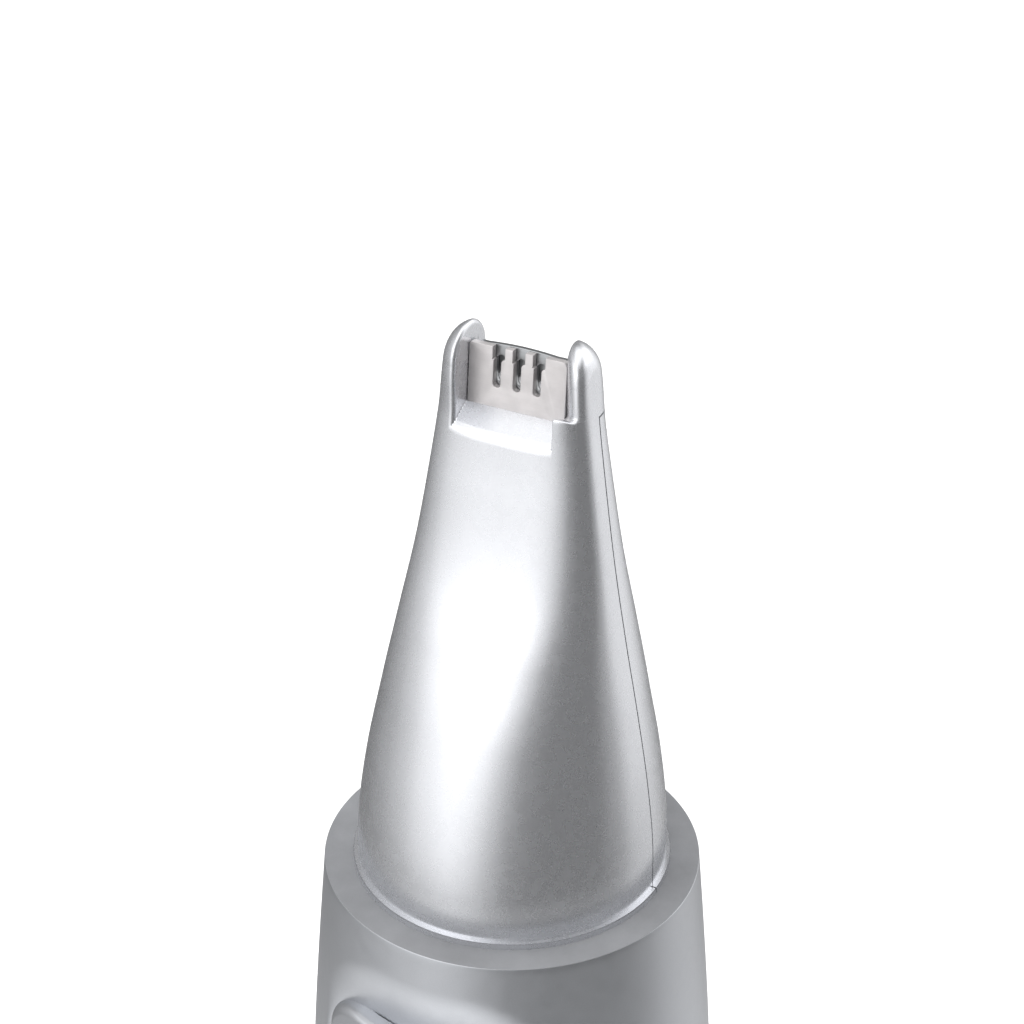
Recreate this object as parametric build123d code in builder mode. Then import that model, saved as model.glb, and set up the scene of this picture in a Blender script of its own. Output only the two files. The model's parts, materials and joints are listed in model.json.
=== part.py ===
from build123d import *

import os
from math import cos, radians, sin, tan

# A battery nose hair trimmer that stands on its battery cap. Z is up, and the front, with the
# slide switch and the guard blade, faces -Y. The origin is the centre of the cap's underside.
# All sizes are in millimetres. Heights in the head are given above the collar.

# Handle
collar_height = 110.0
collar_radius = 10.5
grip_radius = 12.4
joint_height = 22.0
joint_radius = 11.7
body_curve = (
    (collar_radius, collar_height),
    (11.95, 92.5),
    (grip_radius, 66.0),
    (12.2, 42.0),
    (joint_radius, joint_height),
)
bore_radius = 10.2
bulkhead_bottom = 97.0
bulkhead_top = 99.0
socket_radius = 8.3
seal_radius = 4.0
seal_lip_radius = 5.0
seal_lip_height = 0.6

# Thumb scoop and slide switch, as seen from the front
scoop_half_width = 7.4
scoop_top = collar_height - 1.9
scoop_bottom = collar_height - 23.6
scoop_corner = 5.5
scoop_depth = 0.75
pad_half_width = 6.8
pad_top = collar_height - 4.85
pad_bottom = collar_height - 22.9
pad_corner = 4.5
pad_height = 0.3
pad_gap = 0.12
pad_rounding = 0.4
rib_heights = (91.0, 93.5, 96.0)
rib_half_width = 3.4
rib_half_height = 0.45
rib_height = 0.28
rib_corner = 0.4
switch_travel = 2.4
stem_half_width = 2.0
stem_bottom = 91.0
stem_top = 93.6
stem_front = 11.4
stem_back = 8.6
stem_clearance = 0.15
retainer_front = 9.5
retainer_back = 8.8
retainer_half_width = 3.2
retainer_margin = 0.3
bridge_half_width = 2.8
bridge_margin = 0.2
contact_x = 2.1
contact_half_width = 0.5
contact_front = 8.05

# Battery cap
foot_radius = 10.6
foot_rounding = 2.0
cap_floor = 2.2
cap_spigot_radius = 10.1
cap_bore_radius = 9.15
cap_spigot_top = 27.0
cap_seal_height = 24.6
cap_seal_major = 9.85
cap_seal_minor = 0.28

# Head: each station is height, half width, half depth, squareness, shift back
head_stations = (
    (0.0, 8.63, 8.63, 2.0, 0.0),
    (3.0, 8.52, 8.6, 2.0, 0.08),
    (7.0, 8.0, 7.93, 2.05, 0.2),
    (11.0, 7.25, 6.72, 2.15, 0.38),
    (15.0, 6.42, 5.08, 2.5, 0.6),
    (19.0, 5.65, 3.47, 2.95, 0.83),
    (24.0, 4.85, 2.5, 3.3, 1.0),
    (28.0, 4.3, 2.06, 3.4, 1.1),
    (32.0, 3.93, 1.7, 3.5, 1.17),
)
head_wall = 1.0
cavity_top = 26.0
foot_flange_radius = 8.87
foot_flange_height = 0.35
ear_arch_radius = 1.9
ear_arch_height = 29.95
ear_arch_shift = 1.2
ear_half_width = 4.2
ear_shoulder_height = 29.2
ear_corner = 1.25
pocket_half_width = 2.95
channel_half_width = 2.81
pocket_slope = 25.0
parting_top_height = 27.9
parting_top_shift = 1.28
relief_floor_height = 28.2
relief_start = (2.69, 1.0)
relief_end = (3.97, -1.2)
spigot_radius = 8.2
spigot_depth = 7.0
spigot_bore = 6.6
sleeve_radius = 7.3
sleeve_height = 3.0
head_seal_height = -4.0
head_seal_major = 7.8
head_seal_minor = 0.45

# Blades, in the guard's own plane: x across, y up from the foot of its front face
blade_lean = 5.7
blade_centre_x = -0.12
guard_foot_height = 27.47
guard_foot_shift = 0.59
blade_half_width = 2.78
guard_top = 3.28
guard_bottom = -1.35
guard_thickness = 0.42
guard_corner = 0.35
slide_gap = 0.03
cutter_thickness = 0.28
cutter_half_width = 2.35
cutter_bottom = -2.58
cutter_top = 3.2
cutter_crown = 0.14
backing_thickness = 0.3
backing_top = 3.1
slot_count = 3
slot_pitch = 1.145
slot_width = 0.43
slot_bottom = 1.29
slot_shoulder = 2.6
mouth_left = 0.08
mouth_right = 0.2
window_width = 0.5
window_bottom = 1.2
window_top = 2.72
backing_window_top = 1.9

# Drive: the pin on the cam rocks the lever, and the lever slides the cutter
pivot_height = collar_height + 14.0
pivot_pin_radius = 0.75
pivot_pin_front = -4.6
pivot_pin_back = 5.2
pivot_clearance = 0.05
boss_radius = 1.7
boss_front = -1.6
boss_back = 2.3
hub_radius = 2.1
hub_front = -1.3
hub_back = 2.0
arm_half_width = 1.2
arm_front = 0.2
arm_back = 1.7
lower_arm_front = -0.9
tip_height = collar_height + 23.8
tip_radius = 0.8
tip_clearance = 0.03
eccentricity = 0.6
drive_pin_radius = 0.5
drive_pin_top = 108.6
fork_top = 109.8
fork_slot_top = 109.1
fork_bottom = 105.1
fork_slot_half_width = 1.8
fork_half_width = 3.0
fork_half_depth = 1.5
carrier_half_width = 2.2
carrier_front = 0.05
carrier_back = 2.0
carrier_bottom = collar_height + 22.6
carrier_top = collar_height + 26.0
carrier_slot_top = collar_height + 24.8
cam_radius = 3.0
cam_bottom = 100.2
cam_top = 104.3

# Motor and its frame
shaft_radius = 1.0
shaft_bottom = 62.6
shaft_top = 103.3
shaft_clearance = 0.04
can_radius = 8.0
can_bottom = 65.0
can_top = 88.0
can_inner_radius = 7.4
can_lid_thickness = 0.8
bearing_radius = 2.0
boss_bearing_radius = 2.6
boss_bearing_top = 89.6
boss_hole_radius = 2.8
end_cap_bottom = 63.5
end_cap_spigot = 1.5
end_cap_wall = 1.0
magnet_inner_radius = 6.1
magnet_bottom = 68.5
magnet_top = 85.0
magnet_gap = 2.0
rotor_radius = 5.7
rotor_bottom = 69.5
rotor_top = 84.0
rotor_pole_count = 3
rotor_slot_width = 1.1
rotor_slot_depth = 3.4
commutator_radius = 2.0
commutator_bottom = 66.0
brush_half_width = 0.8
brush_length = 3.0
brush_gap = 0.075
terminal_y = 4.6
terminal_half_width = 1.0
terminal_bottom = 60.7
frame_radius = 9.9
frame_bore = 8.05
frame_bottom = 60.4
frame_top = 90.5
post_radius = 0.85
post_circle = 8.95
post_angles = (90, 200, 340)
screw_offset = 5.2
screw_radius = 0.9
screw_head_radius = 1.6
screw_head_height = 0.8
screw_bottom = 86.4

# Battery, its holder and the sheet-metal contacts
cell_radius = 7.25
cell_bottom = 8.0
cell_top = 57.5
cell_rounding = 0.6
button_radius = 2.75
button_top = 58.5
sheet_thickness = 0.25
positive_radius = 4.0
holder_bore = 7.45
holder_radius = 8.2
holder_bottom = 20.0
rib_radius = 10.1
rib_bottoms = (30.0, 50.0)
rib_thickness = 1.5
notch_half_width = 1.8
strip_half_width = 1.5
strip_bottom = 21.0
strip_top = 60.2
strip_gap = 0.05
spring_radius = 5.0
spring_wire_radius = 0.35
spring_pitch = 1.5
spring_height = 4.5

# How far a cutting tool passes a face that it would otherwise only touch
overlap = 0.02

STANDING = (Align.CENTER, Align.CENTER, Align.MIN)


def cylinder_between(bottom, top, radius, x=0.0, y=0.0, mode=Mode.ADD):
    """Upright cylinder between two heights."""
    with Locations((x, y, bottom)):
        Cylinder(radius, top - bottom, align=STANDING, mode=mode)


def tube_between(bottom, top, outer, inner):
    """Upright tube on the trimmer's axis."""
    cylinder_between(bottom, top, outer)
    cylinder_between(bottom, top, inner, mode=Mode.SUBTRACT)


def cross_pin(front, back, radius, height, mode=Mode.ADD):
    """Cylinder that runs from front to back."""
    with Locations(Location((0, front, height), (-90, 0, 0))):
        Cylinder(radius, back - front, align=STANDING, mode=mode)


def box_between(low, high, mode=Mode.ADD):
    """Box between its lowest and highest corners."""
    with Locations(low):
        Box(*(h - l for l, h in zip(low, high)), align=(Align.MIN,) * 3, mode=mode)


def ring_at(height, major, minor, mode=Mode.ADD):
    """Round-section ring, or its groove, on the trimmer's axis."""
    with Locations((0, 0, height)):
        Torus(major, minor, mode=mode)


def save(builder, name):
    """Labels a finished piece and writes its STEP file."""
    builder.part.label = name
    export_step(builder.part, f"parts/{name}.step")


def body_section(inset):
    """Half section of the handle's body, its outer curve moved in by inset."""
    curve = [(radius - inset, height) for radius, height in body_curve]
    with BuildSketch(Plane.XZ) as section:
        with BuildLine():
            Spline(*curve)
            Polyline(curve[-1], (0, joint_height), (0, collar_height), curve[0])
        make_face()
    return section.sketch


def front_outline(half_width, bottom, top, corner):
    """Rounded rectangle seen from the front."""
    with BuildSketch(Plane.XZ) as outline:
        with Locations((0, (bottom + top) / 2)):
            RectangleRounded(2 * half_width, top - bottom, corner)
    return outline.sketch


def body_skin(outer_inset, inner_inset, outline):
    """Curved plate between two insets of the body's surface, cut to an outline on its front."""
    with BuildPart() as skin:
        revolve(body_section(outer_inset), axis=Axis.Z)
        revolve(body_section(inner_inset), axis=Axis.Z, mode=Mode.SUBTRACT)
        extrude(outline, amount=2 * grip_radius, mode=Mode.INTERSECT)
    return skin.part


def superellipse(half_width, half_depth, squareness, plane):
    """Outline between an ellipse (squareness 2) and a rounded rectangle."""
    power = 2 / squareness
    turns = [radians(22.5 * step) for step in range(5)]
    points = [(half_width * cos(t) ** power, half_depth * sin(t) ** power) for t in turns]
    with BuildSketch(plane) as outline:
        with BuildLine():
            Spline(*points, tangents=[(0, 1), (-1, 0)])
            mirror(about=Plane.YZ)
            mirror(about=Plane.XZ)
        make_face()
    return outline.sketch


def head_loft(inset):
    """Solid with the head's outer shape, moved in all round by inset."""
    sections = [
        superellipse(a - inset, b - inset, n, Plane((0, shift, collar_height + height)))
        for height, a, b, n, shift in head_stations
    ]
    return loft(sections)


def side_prism(points, half_width):
    """Solid with an outline seen from the side, given as (y, height above the collar) points."""
    with BuildPart() as prism:
        with BuildSketch(Plane.YZ.offset(-half_width)):
            with BuildLine():
                Polyline(*[(y, collar_height + z) for y, z in points], close=True)
            make_face()
        extrude(amount=2 * half_width)
    return prism.part


os.makedirs("parts", exist_ok=True)

# ---------------------------------------------------------------- handle: outer pieces

scoop_outline = front_outline(scoop_half_width, scoop_bottom, scoop_top, scoop_corner)
scoop = body_skin(-scoop_depth, scoop_depth, scoop_outline)

with BuildPart() as housing:
    revolve(body_section(0), axis=Axis.Z)
    cylinder_between(joint_height, bulkhead_bottom, bore_radius, mode=Mode.SUBTRACT)
    cylinder_between(bulkhead_bottom, bulkhead_top, seal_radius, mode=Mode.SUBTRACT)
    cylinder_between(bulkhead_top, collar_height, socket_radius, mode=Mode.SUBTRACT)
    add(scoop, mode=Mode.SUBTRACT)
    box_between(
        (-stem_half_width - stem_clearance, -grip_radius, stem_bottom - stem_clearance),
        (stem_half_width + stem_clearance, 0, stem_top + switch_travel + stem_clearance),
        mode=Mode.SUBTRACT,
    )
save(housing, "housing")

with BuildPart() as shaft_seal:
    cylinder_between(bulkhead_bottom, bulkhead_top, seal_radius)
    cylinder_between(bulkhead_top, bulkhead_top + seal_lip_height, seal_lip_radius)
    cylinder_between(
        bulkhead_bottom,
        bulkhead_top + seal_lip_height,
        shaft_radius + shaft_clearance,
        mode=Mode.SUBTRACT,
    )
save(shaft_seal, "shaft_seal")

with BuildPart() as battery_cap:
    with BuildSketch(Plane.XZ):
        with BuildLine():
            Line((0, 0), (foot_radius - foot_rounding, 0))
            foot_centre = (foot_radius - foot_rounding, foot_rounding)
            CenterArc(foot_centre, foot_rounding, 270, 90)
            Spline(
                (foot_radius, foot_rounding),
                (joint_radius, joint_height),
                tangents=[(0, 1), (0.03, 1)],
            )
            Polyline(
                (joint_radius, joint_height),
                (cap_spigot_radius, joint_height),
                (cap_spigot_radius, cap_spigot_top),
                (cap_bore_radius, cap_spigot_top),
                (cap_bore_radius, cap_floor),
                (0, cap_floor),
                (0, 0),
            )
        make_face()
    revolve(axis=Axis.Z)
    ring_at(cap_seal_height, cap_seal_major, cap_seal_minor, mode=Mode.SUBTRACT)
save(battery_cap, "battery_cap")

with BuildPart() as cap_seal_ring:
    ring_at(cap_seal_height, cap_seal_major, cap_seal_minor)
save(cap_seal_ring, "cap_seal_ring")

tab_front = holder_radius + 2 * strip_gap + sheet_thickness
tab_back = tab_front + sheet_thickness
with BuildPart() as cap_contact_plate:
    cylinder_between(cap_floor, cap_floor + sheet_thickness, cap_bore_radius - strip_gap)
    box_between(
        (-strip_half_width, tab_front, cap_floor),
        (strip_half_width, tab_back, cap_spigot_top),
    )
save(cap_contact_plate, "cap_contact_plate")

spring_start = cap_floor + sheet_thickness + spring_wire_radius
with BuildPart() as battery_spring:
    with BuildLine(Plane.XY.offset(spring_start)):
        coil = Helix(spring_pitch, spring_height, spring_radius)
    with BuildSketch(Plane(coil @ 0, z_dir=coil % 0)):
        Circle(spring_wire_radius)
    sweep(path=coil)
save(battery_spring, "battery_spring")

# ---------------------------------------------------------------- slide switch

with BuildPart() as switch_slider:
    add(
        body_skin(
            -pad_height,
            scoop_depth - pad_gap,
            front_outline(pad_half_width, pad_bottom, pad_top, pad_corner),
        )
    )
    fillet(switch_slider.faces().sort_by(SortBy.AREA)[-1].edges(), pad_rounding)
    for height in rib_heights:
        rib_low = height - rib_half_height
        rib_high = height + rib_half_height
        rib = front_outline(rib_half_width, rib_low, rib_high, rib_corner)
        add(body_skin(-pad_height - rib_height, 0, rib))
    box_between(
        (-stem_half_width, -stem_front, stem_bottom),
        (stem_half_width, -stem_back, stem_top),
    )
save(switch_slider, "switch_slider")

with BuildPart() as slider_retainer:
    box_between(
        (-retainer_half_width, -retainer_front, stem_bottom - retainer_margin),
        (retainer_half_width, -retainer_back, stem_top + retainer_margin),
    )
    box_between(
        (-stem_half_width, -retainer_front, stem_bottom),
        (stem_half_width, -retainer_back, stem_top),
        mode=Mode.SUBTRACT,
    )
save(slider_retainer, "slider_retainer")

with BuildPart() as switch_bridge:
    box_between(
        (-bridge_half_width, -stem_back, stem_bottom + bridge_margin),
        (bridge_half_width, -stem_back + sheet_thickness, stem_top - bridge_margin),
    )
save(switch_bridge, "switch_bridge")

with BuildPart() as switch_contacts:
    for side in (-1, 1):
        box_between(
            (side * contact_x - contact_half_width, -contact_front, frame_top),
            (
                side * contact_x + contact_half_width,
                -contact_front + sheet_thickness,
                bulkhead_bottom,
            ),
        )
save(switch_contacts, "switch_contacts")

# ---------------------------------------------------------------- battery and contacts

with BuildPart() as battery_cell:
    cylinder_between(cell_bottom, cell_top, cell_radius)
    fillet(battery_cell.edges().filter_by(GeomType.CIRCLE), cell_rounding)
save(battery_cell, "battery_cell")

with BuildPart() as battery_button:
    cylinder_between(cell_top, button_top, button_radius)
save(battery_button, "battery_button")

positive_top = button_top + sheet_thickness
with BuildPart() as positive_contact:
    cylinder_between(button_top, positive_top, positive_radius)
save(positive_contact, "positive_contact")

with BuildPart() as battery_holder:
    cylinder_between(holder_bottom, positive_top, holder_radius)
    for bottom in rib_bottoms:
        cylinder_between(bottom, bottom + rib_thickness, rib_radius)
    cylinder_between(positive_top, frame_bottom, rib_radius)
    cylinder_between(holder_bottom, positive_top, holder_bore, mode=Mode.SUBTRACT)
    box_between(
        (-notch_half_width, holder_radius, holder_bottom),
        (notch_half_width, rib_radius, frame_bottom),
        mode=Mode.SUBTRACT,
    )
save(battery_holder, "battery_holder")

with BuildPart() as negative_strip:
    box_between(
        (-strip_half_width, holder_radius + strip_gap, strip_bottom),
        (strip_half_width, holder_radius + strip_gap + sheet_thickness, strip_top),
    )
save(negative_strip, "negative_strip")

# ---------------------------------------------------------------- motor

screw_places = ((-screw_offset, 0), (screw_offset, 0))

with BuildPart() as motor_frame:
    tube_between(frame_bottom, can_top, frame_radius, frame_bore)
    cylinder_between(can_top, frame_top, frame_radius)
    cylinder_between(can_top, frame_top, boss_hole_radius, mode=Mode.SUBTRACT)
    for x, y in screw_places:
        cylinder_between(can_top, frame_top, screw_radius, x, y, mode=Mode.SUBTRACT)
    for angle in post_angles:
        post_x = post_circle * cos(radians(angle))
        post_y = post_circle * sin(radians(angle))
        cylinder_between(frame_top, bulkhead_bottom, post_radius, post_x, post_y)
save(motor_frame, "motor_frame")

with BuildPart() as motor_screws:
    for x, y in screw_places:
        cylinder_between(screw_bottom, frame_top, screw_radius, x, y)
        cylinder_between(frame_top, frame_top + screw_head_height, screw_head_radius, x, y)
save(motor_screws, "motor_screws")

with BuildPart() as motor_can:
    cylinder_between(can_bottom, can_top, can_radius)
    cylinder_between(
        can_bottom, can_top - can_lid_thickness, can_inner_radius, mode=Mode.SUBTRACT
    )
    cylinder_between(can_bottom, can_top, bearing_radius, mode=Mode.SUBTRACT)
    for x, y in screw_places:
        cylinder_between(can_bottom, can_top, screw_radius, x, y, mode=Mode.SUBTRACT)
save(motor_can, "motor_can")

with BuildPart() as motor_front_bearing:
    cylinder_between(can_top - can_lid_thickness, can_top, bearing_radius)
    cylinder_between(can_top, boss_bearing_top, boss_bearing_radius)
    cylinder_between(
        can_top - can_lid_thickness,
        boss_bearing_top,
        shaft_radius + shaft_clearance,
        mode=Mode.SUBTRACT,
    )
save(motor_front_bearing, "motor_front_bearing")

with BuildPart() as motor_end_cap:
    cylinder_between(end_cap_bottom, can_bottom, can_radius)
    cylinder_between(can_bottom, can_bottom + end_cap_spigot, can_inner_radius)
    cylinder_between(
        can_bottom, can_bottom + end_cap_spigot, can_inner_radius - end_cap_wall, mode=Mode.SUBTRACT
    )
    cylinder_between(end_cap_bottom, can_bottom, bearing_radius, mode=Mode.SUBTRACT)
save(motor_end_cap, "motor_end_cap")

with BuildPart() as motor_rear_bearing:
    tube_between(end_cap_bottom, can_bottom, bearing_radius, shaft_radius + shaft_clearance)
save(motor_rear_bearing, "motor_rear_bearing")

with BuildPart() as motor_magnets:
    tube_between(magnet_bottom, magnet_top, can_inner_radius, magnet_inner_radius)
    box_between(
        (-can_radius, -magnet_gap, magnet_bottom),
        (can_radius, magnet_gap, magnet_top),
        mode=Mode.SUBTRACT,
    )
save(motor_magnets, "motor_magnets")

with BuildPart() as motor_brushes:
    for side in (-1, 1):
        brush_y = commutator_radius + brush_gap + sheet_thickness / 2
        with Locations((0, side * brush_y, can_bottom)):
            Box(2 * brush_half_width, sheet_thickness, brush_length, align=STANDING)
save(motor_brushes, "motor_brushes")

with BuildPart() as motor_terminals:
    for side in (-1, 1):
        with Locations((0, side * terminal_y, terminal_bottom)):
            Box(
                2 * terminal_half_width,
                sheet_thickness,
                end_cap_bottom - terminal_bottom,
                align=STANDING,
            )
save(motor_terminals, "motor_terminals")

with BuildPart() as motor_shaft:
    cylinder_between(shaft_bottom, shaft_top, shaft_radius)
save(motor_shaft, "motor_shaft")

with BuildPart() as motor_rotor:
    tube_between(rotor_bottom, rotor_top, rotor_radius, shaft_radius)
    with PolarLocations(rotor_radius - rotor_slot_depth / 2 + overlap, rotor_pole_count):
        with Locations((0, 0, rotor_bottom)):
            Box(
                rotor_slot_depth,
                rotor_slot_width,
                rotor_top - rotor_bottom,
                align=STANDING,
                mode=Mode.SUBTRACT,
            )
save(motor_rotor, "motor_rotor")

with BuildPart() as commutator:
    tube_between(commutator_bottom, rotor_bottom, commutator_radius, shaft_radius)
save(commutator, "commutator")

# ---------------------------------------------------------------- drive

with BuildPart() as drive_pin:
    cylinder_between(shaft_top, drive_pin_top, drive_pin_radius, y=-eccentricity)
save(drive_pin, "drive_pin")

with BuildPart() as eccentric_cam:
    cylinder_between(cam_bottom, cam_top, cam_radius)
    cylinder_between(cam_bottom, shaft_top, shaft_radius, mode=Mode.SUBTRACT)
    add(drive_pin.part, mode=Mode.SUBTRACT)
save(eccentric_cam, "eccentric_cam")

with BuildPart() as drive_lever:
    cross_pin(hub_front, hub_back, hub_radius, pivot_height)
    box_between(
        (-arm_half_width, lower_arm_front, fork_top),
        (arm_half_width, arm_back, pivot_height),
    )
    box_between(
        (-fork_half_width, -fork_half_depth, fork_bottom),
        (fork_half_width, fork_half_depth, fork_top),
    )
    box_between(
        (-fork_slot_half_width, -fork_half_depth, fork_bottom),
        (fork_slot_half_width, fork_half_depth, fork_slot_top),
        mode=Mode.SUBTRACT,
    )
    box_between(
        (-tip_radius, arm_front, pivot_height),
        (tip_radius, arm_back, tip_height),
    )
    cross_pin(arm_front, arm_back, tip_radius, tip_height)
    cross_pin(
        hub_front,
        hub_back,
        pivot_pin_radius + pivot_clearance,
        pivot_height,
        mode=Mode.SUBTRACT,
    )
save(drive_lever, "drive_lever")

# ---------------------------------------------------------------- blades

lean = radians(blade_lean)
guard_plane = Plane(
    (blade_centre_x, guard_foot_shift, collar_height + guard_foot_height),
    x_dir=(1, 0, 0),
    z_dir=(0, -cos(lean), sin(lean)),
)
cutter_depth = guard_thickness + slide_gap
backing_depth = cutter_depth + cutter_thickness + slide_gap
stack_depth = backing_depth + backing_thickness
slot_centres = [slot_pitch * (i - (slot_count - 1) / 2) for i in range(slot_count)]

with BuildPart() as guard_blade:
    with BuildSketch(guard_plane):
        with Locations((0, (guard_bottom + guard_top) / 2)):
            Rectangle(2 * blade_half_width, guard_top - guard_bottom)
        fillet(vertices().group_by(Axis.Y)[-1], guard_corner)
        for x in slot_centres:
            with Locations((x, slot_bottom)):
                Circle(slot_width / 2, mode=Mode.SUBTRACT)
                Rectangle(
                    slot_width,
                    guard_top - slot_bottom,
                    align=(Align.CENTER, Align.MIN),
                    mode=Mode.SUBTRACT,
                )
            with Locations((x + (mouth_right - mouth_left) / 2, slot_shoulder)):
                Rectangle(
                    slot_width + mouth_left + mouth_right,
                    guard_top - slot_shoulder,
                    align=(Align.CENTER, Align.MIN),
                    mode=Mode.SUBTRACT,
                )
    extrude(amount=-guard_thickness)
save(guard_blade, "guard_blade")


def cut_windows(top):
    """Closed slots through a blade sketch, behind the guard's open ones."""
    for x in slot_centres:
        with Locations((x, (window_bottom + top) / 2)):
            SlotOverall(top - window_bottom, window_width, rotation=90, mode=Mode.SUBTRACT)


with BuildPart() as cutting_blade:
    with BuildSketch(guard_plane.offset(-cutter_depth)):
        with BuildLine():
            left_top = (-cutter_half_width, cutter_top)
            right_top = (cutter_half_width, cutter_top)
            ThreePointArc(left_top, (0, cutter_top + cutter_crown), right_top)
            Polyline(
                right_top,
                (cutter_half_width, cutter_bottom),
                (-cutter_half_width, cutter_bottom),
                left_top,
            )
        make_face()
        cut_windows(window_top)
    extrude(amount=-cutter_thickness)
save(cutting_blade, "cutting_blade")

with BuildPart() as backing_plate:
    with BuildSketch(guard_plane.offset(-backing_depth)):
        with Locations((0, (guard_bottom + backing_top) / 2)):
            Rectangle(2 * blade_half_width, backing_top - guard_bottom)
        fillet(vertices().group_by(Axis.Y)[-1], guard_corner)
        cut_windows(backing_window_top)
    extrude(amount=-backing_thickness)
save(backing_plate, "backing_plate")

with BuildPart() as cutter_carrier:
    box_between(
        (-carrier_half_width, carrier_front, carrier_bottom),
        (carrier_half_width, carrier_back, carrier_top),
    )
    box_between(
        (-tip_radius - tip_clearance, carrier_front, carrier_bottom),
        (tip_radius + tip_clearance, carrier_back, carrier_slot_top),
        mode=Mode.SUBTRACT,
    )
    add(cutting_blade.part, mode=Mode.SUBTRACT)
save(cutter_carrier, "cutter_carrier")

# ---------------------------------------------------------------- head

with BuildPart() as head_cavity:
    add(head_loft(head_wall))
    box_between(
        (-collar_radius, -collar_radius, collar_height),
        (collar_radius, collar_radius, collar_height + cavity_top),
        mode=Mode.INTERSECT,
    )
    cross_pin(-collar_radius, boss_front, boss_radius, pivot_height, mode=Mode.SUBTRACT)
    cross_pin(boss_back, collar_radius, boss_radius, pivot_height, mode=Mode.SUBTRACT)

with BuildPart() as blade_channel:
    with BuildSketch(guard_plane):
        Rectangle(2 * channel_half_width, 4 * guard_top)
    extrude(amount=-stack_depth)
    box_between(
        (-collar_radius, -collar_radius, collar_height),
        (collar_radius, collar_radius, collar_height + cavity_top - overlap),
        mode=Mode.SUBTRACT,
    )

# The pockets in front of the blades and behind them have floors that slope down and outwards
pocket_reach = 4.0
pocket_low = guard_foot_height - pocket_reach * tan(radians(pocket_slope))
open_height = ear_arch_height + pocket_reach
open_lean = (open_height - guard_foot_height) * tan(lean)
back_foot_shift = guard_foot_shift + stack_depth / cos(lean)
front_pocket = side_prism(
    [
        (guard_foot_shift - pocket_reach, pocket_low),
        (guard_foot_shift, guard_foot_height),
        (guard_foot_shift + open_lean, open_height),
        (guard_foot_shift - pocket_reach, open_height),
    ],
    pocket_half_width,
)
back_pocket = side_prism(
    [
        (back_foot_shift + pocket_reach, pocket_low),
        (back_foot_shift, guard_foot_height),
        (back_foot_shift + open_lean, open_height),
        (back_foot_shift + pocket_reach, open_height),
    ],
    pocket_half_width,
)

with BuildPart() as ear_relief:
    with BuildSketch(Plane.XY.offset(collar_height + relief_floor_height)):
        with BuildLine():
            Polyline(relief_start, relief_end, (relief_start[0], relief_end[1]), close=True)
        make_face()
    extrude(amount=open_height - relief_floor_height)

# Seen from the side the ears end in a half circle, and seen from the front in rounded shoulders
arch_middle = collar_height + ear_arch_height
arch_front = (ear_arch_shift - ear_arch_radius, arch_middle)
arch_top = (ear_arch_shift, arch_middle + ear_arch_radius)
arch_back = (ear_arch_shift + ear_arch_radius, arch_middle)
with BuildPart() as side_limits:
    with BuildSketch(Plane.YZ.offset(-collar_radius)):
        with BuildLine():
            ThreePointArc(arch_front, arch_top, arch_back)
            Polyline(
                arch_back,
                (collar_radius, arch_middle),
                (collar_radius, collar_height),
                (-collar_radius, collar_height),
                (-collar_radius, arch_middle),
                arch_front,
            )
        make_face()
    extrude(amount=2 * collar_radius)

with BuildPart() as front_limits:
    ears = front_outline(ear_half_width, collar_height, arch_top[1], ear_corner)
    extrude(ears, amount=collar_radius, both=True)
    box_between(
        (-collar_radius, -collar_radius, collar_height),
        (collar_radius, collar_radius, collar_height + ear_shoulder_height),
    )

with BuildPart() as head_shape:
    add(head_loft(0))
    add(side_limits.part, mode=Mode.INTERSECT)
    add(front_limits.part, mode=Mode.INTERSECT)
    cylinder_between(collar_height, collar_height + foot_flange_height, foot_flange_radius)
    for tool in (head_cavity, blade_channel, ear_relief):
        add(tool.part, mode=Mode.SUBTRACT)
    add(front_pocket, mode=Mode.SUBTRACT)
    add(back_pocket, mode=Mode.SUBTRACT)
    cross_pin(pivot_pin_front, pivot_pin_back, pivot_pin_radius, pivot_height, mode=Mode.SUBTRACT)

behind_parting_line = side_prism(
    [
        (0, 0),
        (parting_top_shift, parting_top_height),
        (collar_radius, parting_top_height),
        (collar_radius, 0),
    ],
    collar_radius,
)

with BuildPart() as head_front_shell:
    add(head_shape.part)
    add(behind_parting_line, mode=Mode.SUBTRACT)
save(head_front_shell, "head_front_shell")

with BuildPart() as head_rear_shell:
    add(head_shape.part)
    add(behind_parting_line, mode=Mode.INTERSECT)
save(head_rear_shell, "head_rear_shell")

with BuildPart() as lever_pivot_pin:
    cross_pin(pivot_pin_front, pivot_pin_back, pivot_pin_radius, pivot_height)
save(lever_pivot_pin, "lever_pivot_pin")

with BuildPart() as head_mounting_ring:
    tube_between(collar_height - spigot_depth, collar_height, spigot_radius, spigot_bore)
    tube_between(collar_height, collar_height + sleeve_height, sleeve_radius, spigot_bore)
    ring_at(
        collar_height + head_seal_height, head_seal_major, head_seal_minor, mode=Mode.SUBTRACT
    )
save(head_mounting_ring, "head_mounting_ring")

with BuildPart() as head_seal_ring:
    ring_at(collar_height + head_seal_height, head_seal_major, head_seal_minor)
save(head_seal_ring, "head_seal_ring")
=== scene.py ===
import json
from math import cos, hypot, pi, radians, sin, tan

import bmesh
import bpy
import numpy as np
from mathutils import Matrix, Vector


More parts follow.
